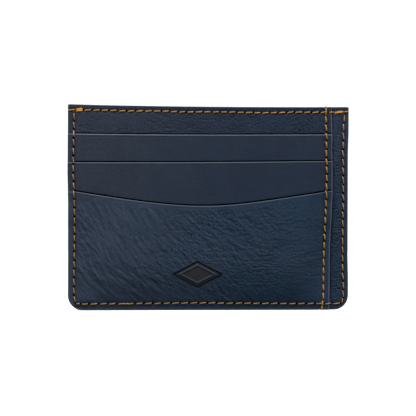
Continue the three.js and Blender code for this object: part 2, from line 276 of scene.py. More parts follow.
def pressed_rise(name, x, z):
    """How far a pocket layer lies in front of the slot panel where all layers are pressed
    together. It comes down over the bottom edge of each layer behind it."""
    lined = ramp(x, POCKET_LINING_LEFT - 0.8, POCKET_LINING_LEFT - 0.2)
    lined = lined * ramp(x, POCKET_LINING_RIGHT + 0.8, POCKET_LINING_RIGHT + 0.2)
    rise = -(THICKNESS[name] + PRESS_GAP)
    for behind in POCKET_LAYERS[: POCKET_LAYERS.index(name)]:
        reaches = ramp(z, CAD_BOTTOM[behind] - COME_DOWN, CAD_BOTTOM[behind])
        if behind in POCKET_LININGS:
            reaches = reaches * lined
        rise = rise - (THICKNESS[behind] + PRESS_GAP) * reaches
    return rise


def opening(distance, reach=SEAM_REACH):
    """0 at a seam, 1 well away from it: the sheet leaves the seam at an angle, then levels."""
    eased = np.sqrt(np.maximum(distance, 0.0) ** 2 + 0.36) - 0.6
    return np.sin(0.5 * np.pi * np.clip(eased / reach, 0.0, 1.0))


def body_opening(x, z):
    sides = opening(x - LEFT_SEAM_X) * opening(RIGHT_SEAM_X - x, STACK_REACH)
    return sides * opening(z - BOTTOM_SEAM_Z)


def pocket_opening(x, z):
    sides = opening(x - LEFT_SEAM_X) * opening(stack_seam(z) - x, STACK_REACH)
    return sides * opening(z - BOTTOM_SEAM_Z)


def waviness(x, z):
    """The slight unevenness of a flat piece of leather."""
    return 0.1 * value_noise(x, z, 26.0, 3) + 0.04 * value_noise(x, z, 11.0, 4)


def lie_of(name, x, z):
    """The plane of a layer's front face, before its own relief."""
    if name in BODY_LAYERS:
        pressed, relaxed = PRESSED_FRONT[name], CAD_FRONT[name]
        if name == "back_panel":
            pressed = pressed - 0.2 * ramp(outline_distance(x, z), LINING_INSET + 0.3, 0.2)
        open_here = body_opening(x, z)
        return pressed + (relaxed - pressed + waviness(x, z)) * open_here
    pressed = pressed_rise(name, x, z)
    relaxed = CAD_FRONT[name] - CAD_FRONT["slot_panel"]
    rise = pressed + (relaxed - pressed) * pocket_opening(x, z)
    return lie_of("slot_panel", x, z) + rise


# ---------------------------------------------------------------- seams and their holes

NEEDLE_HOLE = 0.4
LEFT_PITCH = 3.09
BOTTOM_PITCH = 3.2
RIGHT_PITCH = 3.16
TOP_PITCH = 2.98
STACK_PITCH = 3.03
HIDDEN_PITCH = 3.0


class Seam:
    """A row of needle holes, evenly spaced with a little unevenness. Where the end holes are not
    open, their thread fills them."""

    def __init__(self, points, seed, open_ended=False):
        shaken = np.random.RandomState(seed).normal(0.0, 0.045, (len(points), 2))
        self.holes = np.array(points, dtype=float) + shaken
        self.open_holes = self.holes if open_ended else self.holes[1:-1]


def spaced(start, end, pitch):
    """Values from start to end, as near to pitch apart as fits."""
    return np.linspace(start, end, max(2, round(abs(end - start) / pitch) + 1))


def edge_seam_points():
    """Holes down the left side, along the bottom and up the right side."""
    def left_wander(z):
        return 0.15 * bump_at(z - 28.0, 12.0) - 0.15 * bump_at(z - 52.0, 12.0)

    def right_wander(z):
        return 0.5 * ramp(z, EDGE_SEAM_TOP - 2.8, EDGE_SEAM_TOP) - 0.1 * math.sin(z / 9.0)

    left = [(LEFT_SEAM_X + left_wander(z), z) for z in spaced(EDGE_SEAM_TOP, 5.4, LEFT_PITCH)]
    left_turn = (LEFT_SEAM_X + 0.5, BOTTOM_SEAM_Z + 0.2)
    across = spaced(LEFT_SEAM_X + 2.2, RIGHT_SEAM_X - 0.8, BOTTOM_PITCH)
    bottom = [(x, BOTTOM_SEAM_Z - 0.15 + 0.3 * bump_at(x + 4.0, 25.0)) for x in across]
    right_rise = spaced(BOTTOM_SEAM_Z + 1.7, EDGE_SEAM_TOP, RIGHT_PITCH)
    right = [(RIGHT_SEAM_X + right_wander(z), z) for z in right_rise]
    return left + [left_turn] + bottom + right


top_holes = np.array([*spaced(LEFT + 2.9, RIGHT - 7.4, TOP_PITCH), RIGHT - 5.3, RIGHT - 1.9])
top_holes -= 0.45 * ramp(top_holes, -18.0, -30.0)
stack_holes = [*spaced(TOP - 3.05, BOTTOM + 3.4, STACK_PITCH), BOTTOM + 1.3]
SEAMS = {
    "edge": Seam(edge_seam_points(), 11),
    "top": Seam([(x, top_seam(x)) for x in top_holes], 12, open_ended=True),
    "stack": Seam([(stack_seam(z), z) for z in stack_holes], 13),
}


def seam_pull(x, z, seams):
    """How deep the leather is drawn in along its seams, and how much of a needle hole is here."""
    depth = np.zeros_like(x)
    if "edge" in seams:
        along = ramp(z, EDGE_SEAM_TOP + 1.0, EDGE_SEAM_TOP - 1.0)
        depth = np.maximum(depth, bump_at(edge_seam_distance(x, z), 0.75) * along)
    if "top" in seams:
        depth = np.maximum(depth, bump_at(z - top_seam(x), 0.7))
    if "stack" in seams:
        depth = np.maximum(depth, bump_at(x - stack_seam(z), 0.7))
    hole = np.zeros_like(x)
    for name in seams:
        for hole_x, hole_z in SEAMS[name].open_holes:
            near = (np.abs(x - hole_x) < 1.0) & (np.abs(z - hole_z) < 1.0)
            if near.any():
                away = np.hypot(x[near] - hole_x, z[near] - hole_z)
                hole[near] = np.maximum(hole[near], bump_at(away, NEEDLE_HOLE))
    return depth, hole


# ---------------------------------------------------------------- grids


def grid_lines(low, high, coarse, bands=(), rim=0.05):
    """Lines from low to high: closer together near both ends and inside each (centre, half
    width, step) band."""

    def step(value):
        local = min(coarse, rim + 0.4 * min(value - low, high - value))
        for centre, half, fine in bands:
            beyond = max(0.0, abs(value - centre) - half)
            local = min(local, fine + 0.5 * beyond)
        return max(local, 0.4 * rim)

    lines = [low]
    while high - lines[-1] > 1.3 * step(lines[-1]):
        lines.append(lines[-1] + step(lines[-1]))
    lines.append(high)
    return np.array(lines)


def hole_bands(values, step=0.17):
    """A band round each needle hole, for grid_lines."""
    return [(float(value), 0.3, step) for value in values]


# ---------------------------------------------------------------- sheet meshes


class Outline:
    """A sheet's shape: straight columns between a bottom and a top curve, leaning at the right.
    mouth is how brightly its top edge is painted, edge paint with a painted highlight, for a
    pocket."""

    def __init__(self, left, right, bottom, top, inset=0.0, cornered=True, mouth=0.0):
        self.left = left
        self.right = right
        self.bottom = bottom
        self.top = top
        self.inset = inset
        self.cornered = cornered
        self.mouth = mouth

    def rim(self, x, z, distance, radius):
        """The edge paint, with a painted highlight where the edge catches the light: wide along a
        mouth and the stack's raw edge, narrow along the outer edges and faintest along the
        bottom, the painted shade of an edge that faces down."""
        paint_and_highlight = 0.6 * (1.0 - ramp(distance, 0.4 * radius, 1.2 * radius))
        paint_and_highlight = paint_and_highlight * (0.2 + 0.8 * ramp(z, BOTTOM + 0.5, BOTTOM + 3.0))
        if self.mouth:
            paint_and_highlight = np.maximum(paint_and_highlight, self.mouth * (1.0 - ramp(self.top(x) - z, 0.22, 0.42)))
        if self.right is stack_edge:
            paint_and_highlight = np.maximum(paint_and_highlight, 0.85 * (1.0 - ramp(stack_edge(z) - x, 0.25, 0.5)))
        return paint_and_highlight

    def place(self, u, v):
        """(x, z) of grid lines u, in millimetres at the sheet's middle height, and v, 0 to 1."""
        middle_right = self.right(HEIGHT / 2)
        low, high = self.bottom(u), self.top(u)
        z = low + (high - low) * v
        lean = ramp(u, middle_right - 12.0, middle_right - 6.0)
        return u + (self.right(z) - middle_right) * lean, z

    def distance(self, x, z):
        """Distance in from the outline."""
        slope = (self.top(x + 0.2) - self.top(x - 0.2)) / 0.4
        to_top = (self.top(x) - z) / np.sqrt(1 + np.minimum(slope**2, 4.0))
        inside = np.minimum.reduce([x - self.left, self.right(z) - x, to_top])
        if not self.cornered:
            return np.maximum(np.minimum(inside, z - self.bottom(x)), 0.0)
        in_corner = corner_distance(x, z, self.inset)
        to_bottom = np.where(in_corner > 100.0, z - self.bottom(x), in_corner)
        return np.maximum(np.minimum(inside, to_bottom), 0.0)


def rounding(distance, radius):
    """How far the face falls back towards a rounded edge."""
    inside = np.clip(radius - distance, 0.0, radius)
    return radius - np.sqrt(np.maximum(radius**2 - inside**2, 0.0))


def closed_sheet(name, fine, plain, skip, flip):
    """A closed mesh from a fine grid on one face and a grid of every skip-th line on the other.
    The fine face looks towards -Y, or towards +Y with flip."""
    nx, nz = fine.shape[:2]
    keep_x = sorted({*range(0, nx, skip), nx - 1})
    keep_z = sorted({*range(0, nz, skip), nz - 1})
    plain = plain[np.ix_(keep_x, keep_z)]
    bx, bz = plain.shape[:2]
    near = np.arange(nx * nz).reshape(nx, nz)
    far = nx * nz + np.arange(bx * bz).reshape(bx, bz)

    def quads(grid):
        corners = [grid[:-1, :-1], grid[1:, :-1], grid[1:, 1:], grid[:-1, 1:]]
        return np.stack(corners, -1).reshape(-1, 4)

    faces = quads(near).tolist() + quads(far)[:, ::-1].tolist()

    def rim(near_line, far_line, kept, backwards):
        for k in range(len(kept) - 1):
            run = near_line[kept[k] : kept[k + 1] + 1].tolist()
            face = run + [int(far_line[k + 1]), int(far_line[k])]
            faces.append(face[::-1] if backwards else face)

    rim(near[:, 0], far[:, 0], keep_x, True)
    rim(near[-1, :], far[-1, :], keep_z, True)
    rim(near[:, -1], far[:, -1], keep_x, False)
    rim(near[0, :], far[0, :], keep_z, False)
    if flip:
        faces = [face[::-1] for face in faces]
    points = hand_cut(np.concatenate([fine.reshape(-1, 3), plain.reshape(-1, 3)])) * MM
    mesh = bpy.data.meshes.new(name)
    mesh.from_pydata(points.tolist(), [], faces)
    mesh.shade_smooth()
    return mesh, np.ix_(keep_x, keep_z)


def add_piece(name, mesh, node, material):
    """Puts a mesh in the scene, in the place of a CAD node."""
    piece = bpy.data.objects.new(name, mesh)
    bpy.context.scene.collection.objects.link(piece)
    mesh.materials.append(material)
    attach(piece, "root")
    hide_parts(node)
    return piece


def build_sheet(node, outline, us, vs, material, relief=None, seams=(), skip=4, flip=False):
    """A leather or cloth sheet in the place of a CAD node. relief(x, z, distance) gives a depth
    into the finer face and a dictionary of masks for the material."""
    u, v = np.meshgrid(us, vs, indexing="ij")
    x, z = outline.place(u, v)
    distance = outline.distance(x, z)
    thickness = THICKNESS[node]
    radius = 0.42 * thickness
    drop = rounding(distance, radius)
    masks = {"rim": outline.rim(x, z, distance, radius)}
    depth = np.zeros_like(x)
    if relief:
        depth, extra = relief(x, z, distance)
        masks.update(extra)
    pull, hole = seam_pull(x, z, seams)
    masks.update({"hole": hole, "seam": pull})
    sunk = drop + np.minimum((depth + 0.18 * pull + 0.1 * hole) * ramp(distance, 0.0, 0.5),
                             0.7 * thickness)
    face = lie_of(node, x, z)
    if flip:
        fine, plain = face + thickness - sunk, face + drop
    else:
        fine, plain = face + sunk, face + thickness - drop
    mesh, kept = closed_sheet(
        node + "_mesh", np.stack([x, fine, z], -1), np.stack([x, plain, z], -1), skip, flip)
    for mask, values in masks.items():
        attribute = mesh.attributes.new(mask, "FLOAT", "POINT")
        behind = values[kept] if mask == "rim" else 0.0 * values[kept]
        joined = np.concatenate([values.ravel(), behind.ravel()])
        attribute.data.foreach_set("value", joined.astype(np.float32))
    return add_piece(node + "_visible", mesh, node, material)


# ---------------------------------------------------------------- leather relief

TUMBLED_CELL = 1.1
FINE_CELL = 0.75
MOUTH_CREASE_BELOW = 1.0
MARGIN_DEPTH = 0.3
STAMP_DEPTH = 0.22


def cells(x, z, size, seed, angle, stretch):
    """Cellular noise with drawn-out cells: the distances to the nearest and the second nearest
    seed, in units of size. angle and stretch are functions of place, read at each seed."""
    random = np.random.RandomState(seed)
    shift = random.uniform(0.08, 0.92, (256, 256, 2))
    i, j = np.floor(x / size).astype(int), np.floor(z / size).astype(int)
    nearest = np.full(x.shape, 9.0)
    second = np.full(x.shape, 9.0)
    for di in range(-3, 4):
        for dj in range(-3, 4):
            ci, cj = i + di, j + dj
            offset = shift[ci % 256, cj % 256]
            seed_x, seed_z = (ci + offset[..., 0]) * size, (cj + offset[..., 1]) * size
            turn, draw = angle(seed_x, seed_z), stretch(seed_x, seed_z)
            dx, dz = x - seed_x, z - seed_z
            along = (dx * np.cos(turn) + dz * np.sin(turn)) / draw
            across = (dz * np.cos(turn) - dx * np.sin(turn)) * np.sqrt(draw)
            away = np.hypot(along, across) / size
            second = np.minimum(second, np.maximum(nearest, away))
            nearest = np.minimum(nearest, away)
    return nearest, second


def grain_angle(x, z):
    """The direction in which the tumbled grain is drawn out: steep at the left, less so in the
    middle and lower down, level at the right."""
    t = (x - LEFT) / (RIGHT - LEFT)
    steep = -60.0 + 18.0 * ramp(t, 0.25, 0.55) + 36.0 * ramp(t, 0.65, 0.85)
    lower = 18.0 * ramp(z, 18.0, 8.0) * ramp(t, 0.6, 0.3)
    return np.radians(steep + lower + 9.0 * value_noise(x, z, 11.0, 20))


def grain_stretch(x, z):
    """How far the tumbled grain is drawn out: most at the left."""
    return 1.5 + 0.9 * ramp(x, -5.0, -35.0) - 0.3 * ramp(x, 12.0, 26.0)


def wrinkles(x, z, length, width, seed):
    """Smooth noise of unit spread, drawn out along the grain."""
    steps = max(2, round(length / width))
    total = value_noise(x, z, width, seed)
    for way in (-1.0, 1.0):
        px, pz = x, z
        for _ in range(steps):
            angle = grain_angle(px, pz)
            px = px + way * 0.5 * width * np.cos(angle)
            pz = pz + way * 0.5 * width * np.sin(angle)
            total = total + value_noise(px, pz, width, seed)
    return total / np.std(total)


def tumbled_grain(x, z, strength):
    """Depth of the valleys in tumbled leather, and a mask of its creases, which the material
    darkens as painted shade.
    """
    warp_x = x + 0.5 * value_noise(x, z, 2.3, 21) + 0.2 * value_noise(x, z, 1.0, 22)
    warp_z = z + 0.5 * value_noise(x, z, 2.3, 23) + 0.2 * value_noise(x, z, 1.0, 24)
    nearest, second = cells(warp_x, warp_z, TUMBLED_CELL, 31, grain_angle, grain_stretch)
    dome = ramp(nearest, 0.1, 0.9)
    valley = 1.0 - ramp(second - nearest, 0.0, 0.45)
    folds = wrinkles(x, z, 4.6, 1.3, 28)
    long = wrinkles(x, z, 3.4, 0.95, 26)
    short = wrinkles(x, z, 1.2, 0.5, 27)
    patchy = np.clip(0.9 + 0.4 * value_noise(x, z, 5.0, 25), 0.4, 1.2)
    at_left, at_right = ramp(x, -8.0, -32.0), ramp(x, 10.0, 26.0)
    cellular = (1.0 - 0.4 * at_left) * (0.16 * dome + 0.08 * valley)
    streaks = (1.0 - 0.6 * at_right) * 0.055 * long + 0.06 * at_left * folds
    depth = strength * patchy * (cellular + streaks + 0.03 * short)
    crease_shade = np.clip(0.75 * valley * dome * (1.0 - 0.4 * at_left) + 0.12 * long, 0.0, 1.0)
    return depth, strength * crease_shade * patchy


def fine_grain(x, z):
    """Depth of the small round pebbles on nearly smooth leather."""
    bent_x = x + 0.25 * value_noise(x, z, 0.9, 53)
    bent_z = z + 0.25 * value_noise(x, z, 0.9, 54)
    nearest, second = cells(bent_x, bent_z, FINE_CELL, 33, level(0.0), level(1.25))
    patchy = np.clip(0.8 + 0.5 * value_noise(x, z, 4.0, 55), 0.2, 1.3)
    valley = 1.0 - ramp(second - nearest, 0.0, 0.4)
    return patchy * (0.08 * ramp(nearest, 0.1, 0.9) + 0.03 * valley)


def long_creases(x, z):
    """The long level creases across the right-hand half of the front pocket."""
    turned = z - 0.05 * x + 0.5 * value_noise(x, z, 9.0, 41)
    ridges = 1.0 - np.abs(value_noise(0.12 * x, turned, 1.1, 42))
    where = ramp(x, -8.0, 14.0) * bump_at(z - 20.0, 5.5)
    return np.clip(ridges - 0.72, 0.0, 1.0) / 0.28 * where


def mouth_crease(distance):
    """The fine line pressed in along a pocket mouth."""
    return 0.05 * bump_at(distance - MOUTH_CREASE_BELOW, 0.16)


def crevice_shade(above_mouth):
    """A groove with painted shade on a sheet just above the mouth of the pocket in front of it."""
    return ramp(above_mouth, 0.65, 0.32) * ramp(above_mouth, -0.6, -0.3)


def beside_stack(past_edge):
    """Painted shade on the foot of the strip, just past the stack's right edge, where the stack's
    shadow falls.
    """
    return ramp(past_edge, 0.8, 0.2) * ramp(past_edge, 0.0, 0.05)


def margin(z):
    """The margin under the bottom seam, which falls away to the bottom edge and is darkened with
    painted shade.
    """
    return ramp(z, BOTTOM_SEAM_Z - 0.1, BOTTOM_SEAM_Z - 1.3)


def stamp_inside(x, z):
    """Distance in from the edge of the pressed lozenge, in millimetres."""
    half_x, half_z = STAMP_SIZE[0] / 2, STAMP_SIZE[1] / 2
    across = np.abs(x - STAMP_CENTRE[0]) / half_x + np.abs(z - STAMP_CENTRE[1]) / half_z
    side = half_x * half_z / math.hypot(half_x, half_z)
    tips = half_x - 0.4 - np.abs(x - STAMP_CENTRE[0])
    return np.minimum((1.0 - across) * side, tips)


def stamp(x, z):
    """The pressed mark: a plain lozenge with a raised lozenge ring in it."""
    inside = stamp_inside(x, z)
    ring = ramp(inside, 0.9, 1.05) * ramp(inside, 1.6, 1.45)
    return ramp(inside, -0.08, 0.08) * (1.0 - ring)


def front_pocket_relief(x, z, distance):
    """Tumbled grain that calms towards the edges and the pressed mark, and long creases."""
    pressed = stamp(x, z)
    calm = ramp(distance, 0.6, 3.0) * (1.0 - ramp(stamp_inside(x, z), -0.7, 0.0))
    strength = 1.0 - 0.4 * ramp(x, 20.0, 36.0)
    strength = strength * (0.75 + 0.25 * ramp(z, 4.0, 14.0)) * calm
    depth, crease_shade = tumbled_grain(x, z, strength)
    folds = long_creases(x, z) * calm
    to_mouth = front_mouth(x) - z
    depth = depth + 0.12 * folds + mouth_crease(to_mouth)
    depth = depth + STAMP_DEPTH * pressed + MARGIN_DEPTH * margin(z)
    # The creases, the long folds and the bottom margin are darkened with painted shade.
    crease_shade = np.clip(crease_shade + 0.7 * folds + 0.8 * margin(z), 0.0, 1.0)
    # Painted shade along the walls of the pressed mark.
    stamp_wall_shade = bump_at(stamp_inside(x, z) - 0.05, 0.28)
    return depth, {"crease_shade": crease_shade, "stamp": pressed, "crevice_shade": stamp_wall_shade}


def smooth_relief(mouth=None, next_mouth=None, grain=0.0):
    """Nearly smooth leather, with a pressed line under its own mouth and a groove with painted
    shade over the next pocket's mouth, for the ones it has, and as much fine grain as asked. It
    also paints shade on the bottom margin and at the foot of the stack's right edge."""

    def relief(x, z, distance):
        depth = 0.025 * value_noise(x, z, 2.3, 51) + 0.014 * value_noise(x, z, 0.9, 52)
        below = margin(z) * ramp(x, STACK_EDGE_TOP - 0.6, STACK_EDGE_TOP)
        depth = depth + MARGIN_DEPTH * below
        # Painted shade darkens the strip's bottom margin and the foot of the strip beside the
        # stack's edge.
        masks = {"crease_shade": 0.8 * below, "crevice_shade": 0.5 * beside_stack(x - stack_edge(z))}
        if grain:
            strength = grain * ramp(distance, 0.4, 2.0) * (0.5 + 0.5 * ramp(x, -35.0, -5.0))
            depth = depth + strength * fine_grain(x, z)
        if mouth is not None:
            depth = depth + mouth_crease(mouth(x) - z)
        if next_mouth is not None:
            # A groove, with painted shade in it, above the next pocket's mouth.
            groove_shade = crevice_shade(z - next_mouth(x)) * ramp(x, LEFT_SEAM_X - 1.2, LEFT_SEAM_X + 1.5)
            depth = depth + 0.15 * groove_shade
            masks["crevice_shade"] = np.maximum(masks["crevice_shade"], groove_shade)
        return depth, masks

    return relief


def back_relief(x, z, distance):
    """The front pocket's grain, mirrored and a little weaker."""
    calm = ramp(distance, 0.6, 3.0)
    depth, crease_shade = tumbled_grain(-x, z, 0.7 * calm)
    return depth, {"crease_shade": np.clip(crease_shade, 0.0, 1.0)}


# ---------------------------------------------------------------- thread meshes

PLY_RADIUS = 0.125
PLY_OFFSET = 0.14
THREAD_FLATNESS = 0.82
PLY_SIDES = 7
PLIES = 3
TWIST_LENGTH = 1.25


def twisted_thread(path, outward, swell=1.0):
    """Vertices and faces of twisted plies that follow a path, flattened along outward."""
    tangent = np.gradient(path, axis=0)
    tangent /= np.linalg.norm(tangent, axis=1)[:, None]
    side = np.cross(tangent, outward)
    side /= np.linalg.norm(side, axis=1)[:, None]
    up = np.cross(side, tangent)
    length = np.concatenate([[0], np.cumsum(np.linalg.norm(np.diff(path, axis=0), axis=1))])
    around = np.linspace(0, 2 * np.pi, PLY_SIDES, endpoint=False)
    points, faces = [], []
    for ply in range(PLIES):
        phase = 2 * np.pi * (ply / PLIES + length / TWIST_LENGTH)
        across = PLY_OFFSET * np.cos(phase)[:, None] * side
        above = PLY_OFFSET * THREAD_FLATNESS * np.sin(phase)[:, None] * up
        centre = path + swell * (across + above)
        ring_across = np.cos(around)[None, :, None] * side[:, None, :]
        ring_above = THREAD_FLATNESS * np.sin(around)[None, :, None] * up[:, None, :]
        ring = centre[:, None, :] + swell * PLY_RADIUS * (ring_across + ring_above)
        first = sum(len(p) for p in points)
        index = first + np.arange(len(path) * PLY_SIDES).reshape(len(path), PLY_SIDES)
        after = np.roll(index, -1, axis=1)
        quads = np.stack([index[:-1], index[1:], after[1:], after[:-1]], -1).reshape(-1, 4)
        points.append(ring.reshape(-1, 3))
        faces += quads.tolist() + [index[0].tolist(), index[-1][::-1].tolist()]
    return np.concatenate(points), faces


class ThreadMesh:
    """Collects stitches, then makes one mesh of them. swell is how thick the thread is for its
    kind, less than 1 where it is pulled tighter, and deep is how strong its colour is."""

    def __init__(self, swell=1.0, deep=0.0):
        self.swell = swell
        self.deep = deep
        self.points = []
        self.faces = []
        self.heavy = []
        self.count = 0

    def add(self, path, outward, heavy=0.0):
        points, faces = twisted_thread(path, outward, self.swell)
        self.points.append(points)
        self.faces += [[index + self.count for index in face] for face in faces]
        self.heavy.append(np.full(len(points), max(heavy, self.deep)))
        self.count += len(points)

    def make(self, node):
        mesh = bpy.data.meshes.new(node + "_mesh")
        points = hand_cut(np.concatenate(self.points)) * MM
        mesh.from_pydata(points.tolist(), [], self.faces)
        mesh.shade_smooth()
        attribute = mesh.attributes.new("heavy", "FLOAT", "POINT")
        attribute.data.foreach_set("value", np.concatenate(self.heavy).astype(np.float32))
        add_piece(node + "_visible", mesh, node, THREAD)


PLUNGE = 1.2
HOLE_DEPTH = 0.55
THREAD_LIFT = 0.1
STITCH_SAMPLES = 22
STITCH_SLANT = -0.21
RUN_OUT_SAMPLES = 16
EDGE_SEAM_JOINT_X = -29.0


def draped(y, side):
    """y eased so that a thread passes over steps; side is -1 in front of a face, 1 behind it."""
    padded = np.pad(side * y, 1, mode="edge")
    held_up = np.maximum.reduce([padded[:-2], padded[1:-1], padded[2:]])
    padded = np.pad(held_up, 2, mode="edge")
    window = sum(padded[k : k + len(y)] for k in range(5)) / 5
    return side * window


def stitch(start, end, surface, side, slant, lift, shift=0.0):
    """The path of one stitch from needle hole to needle hole over a face. side is -1 for a face
    that looks towards -Y and 1 for one that looks towards +Y."""
    start, end = np.array(start), np.array(end)
    along = (end - start) / np.linalg.norm(end - start)
    across = np.array([-along[1], along[0]])
    t = np.linspace(0.0, 1.0, STITCH_SAMPLES)
    t = 0.5 - 0.5 * np.cos(np.pi * t) * (0.7 + 0.3 * np.abs(np.cos(np.pi * t)))
    flat = start + (end - start) * t[:, None] + across * (slant * (1 - 2 * t) + shift)[:, None]
    arch = 1.0 - np.abs(2 * t - 1) ** 3.1
    rise = np.maximum(-PLUNGE + (PLUNGE + THREAD_LIFT + lift) * arch, -HOLE_DEPTH)
    y = draped(surface(flat[:, 0], flat[:, 1]), side) + side * rise
    return np.stack([flat[:, 0], y, flat[:, 1]], -1)


def smooth_path(points, samples):
    """A smooth curve through a few points."""
    points = np.array(points)
    padded = np.concatenate([[2 * points[0] - points[1]], points, [2 * points[-1] - points[-2]]])
    t = np.linspace(0, len(points) - 1.0001, samples)
    i = t.astype(int)
    f = (t - i)[:, None]
    a, b, c, d = (padded[i + k] for k in range(4))
    return 0.5 * (2 * b + (c - a) * f + (2 * a - 5 * b + 4 * c - d) * f**2
                  + (3 * b - a - 3 * c + d) * f**3)


def front_surface(x, z):
    """The outermost front face at each point."""
    on_stack = x < stack_edge(z)
    y = np.where(on_stack, lie_of("slot_panel", x, z), lie_of("base_panel", x, z))
    for name, mouth in [("upper_pocket", upper_mouth), ("middle_pocket", middle_mouth),
                        ("front_pocket", front_mouth)]:
        y = np.where(on_stack & (z < mouth(x)), lie_of(name, x, z), y)
    return y


def face_of(name, behind=False):
    """A layer's front or rear face as a function of place."""
    offset = THICKNESS[name] if behind else 0.0
    return lambda x, z: lie_of(name, x, z) + offset


def sew(thread, holes, surface, side, seed, backtacks=None):
    """Stitches between all neighbouring holes. backtacks gives the stitches that are sewn over
    three times, each with how far apart its passes lie."""
    random = np.random.RandomState(seed)
    backtacks = backtacks or {}
    for k in range(len(holes) - 1):
        slant = STITCH_SLANT + random.normal(0.0, 0.05)
        lift = random.normal(0.0, 0.015)
        outward = (0.0, side, 0.0)
        passes = [(0.0, lift)]
        if k in backtacks:
            passes += [(backtacks[k], 0.04), (-backtacks[k], 0.08)]
        for shift, extra in passes:
            path = stitch(holes[k], holes[k + 1], surface, side, slant, extra, shift)
            thread.add(path, outward, 1.0 if k in backtacks else 0.0)


def run_out(thread, hole, edge_x, surface, side):
    """The cut end of a seam, from its last hole to the edge of the leather."""
    x = np.linspace(hole[0], edge_x, RUN_OUT_SAMPLES)
    t = np.linspace(0.0, 1.0, RUN_OUT_SAMPLES)
    z = hole[1] + 0.3 * math.copysign(1.0, edge_x) * t
    rise = -HOLE_DEPTH + (HOLE_DEPTH + THREAD_LIFT) * np.sqrt(np.minimum(1.0, 4.0 * t))
    y = draped(surface(x, z), side) + side * rise
    thread.add(np.stack([x, y, z], -1), (0.0, side, 0.0))


def sew_top_seam(node, surface, side, seed, backtacks=None):
    """A top seam's thread, whose two cut ends run out to the edges of the leather."""
    thread = ThreadMesh(1.0, 0.12)
    holes = SEAMS["top"].holes
    sew(thread, holes, surface, side, seed, backtacks)
    run_out(thread, holes[0], LEFT + 0.1, surface, side)
    run_out(thread, holes[-1], RIGHT - 0.1, surface, side)
    thread.make(node)


def at_point(surface, x, z):
    return float(surface(np.array([x]), np.array([z]))[0])


def sew_stack_seam():
    """The stack seam's needle thread, which goes round the top and the bottom edge of the front
    half at its ends."""
    thread = ThreadMesh(1.1, 0.15)
    holes = SEAMS["stack"].holes
    sew(thread, holes, front_surface, -1, 62)
    x, z = holes[0]
    front = at_point(front_surface, x, z)
    back = at_point(face_of("front_lining", True), x, TOP - 1.0)
    over_top = [
        (x, front + HOLE_DEPTH, z),
        (x, front - 0.1, z + 0.5),
        (x + 0.05, front - 0.16, TOP - 0.6),
        (x + 0.05, front + 0.1, TOP - 0.05),
        (x, (front + back) / 2, TOP + 0.08),
        (x, back, TOP - 0.2),
        (x, back + 0.15, TOP - 1.2),
        (x, back - 0.3, z + 0.2),
    ]
    thread.add(smooth_path(over_top, 44), (0.3, -0.4, 0.85))
    x, z = holes[-1]
    front = at_point(front_surface, x, z)
    back = at_point(face_of("base_panel", True), x, BOTTOM + 0.5)
    under_bottom = [
        (x, front + HOLE_DEPTH, z),
        (x, front - 0.1, z - 0.35),
        (x, front - 0.02, BOTTOM + 0.45),
        (x, front + 0.4, BOTTOM + 0.28),
        (x, (front + back) / 2, BOTTOM + 0.3),
        (x, back - 0.1, BOTTOM + 0.4),
    ]
    thread.add(smooth_path(under_bottom, 36), (0.2, -0.4, -0.85), 0.3)
    thread.make("stack_seam_needle_thread")


def sew_edge_seam():
    """The edge seam's needle thread. Its two ends overlap across one hole of the bottom row."""
    thread = ThreadMesh(0.8)
    holes = SEAMS["edge"].holes
    sew(thread, holes, front_surface, -1, 76)
    from_joint = np.hypot(holes[:, 0] - EDGE_SEAM_JOINT_X, holes[:, 1] - BOTTOM_SEAM_Z)
    joint = int(np.argmin(from_joint))
    before, after = ((holes[joint + way] + 2 * holes[joint]) / 3 for way in (-1, 1))
    over_hole = stitch(before, after, front_surface, -1, -0.2, 0.12)
    thread.add(over_hole, (0.0, -1.0, 0.0), 0.3)
    thread.make("edge_seam_needle_thread")


def sew_plain(node, holes, surface, side, seed):
    """A seam's thread with nothing special at its ends."""
    thread = ThreadMesh()
    sew(thread, holes, surface, side, seed)
    thread.make(node)


def pocket_seam_holes(node, margin=0.8):
    """Holes of a hidden seam along its CAD thread."""
    low, high = cad_span(node)
    middle = (low[2] + high[2]) / 2
    return [(x, middle) for x in spaced(low[0] + margin, high[0] - margin, HIDDEN_PITCH)]


# ---------------------------------------------------------------- materials


def srgb(red, green, blue):
    """A colour given as 0 to 255 in sRGB, as linear RGBA."""
    linear = []
    for value in (red, green, blue):
        v = value / 255
        linear.append(v / 12.92 if v <= 0.04045 else ((v + 0.055) / 1.055) ** 2.4)
    return (*linear, 1.0)


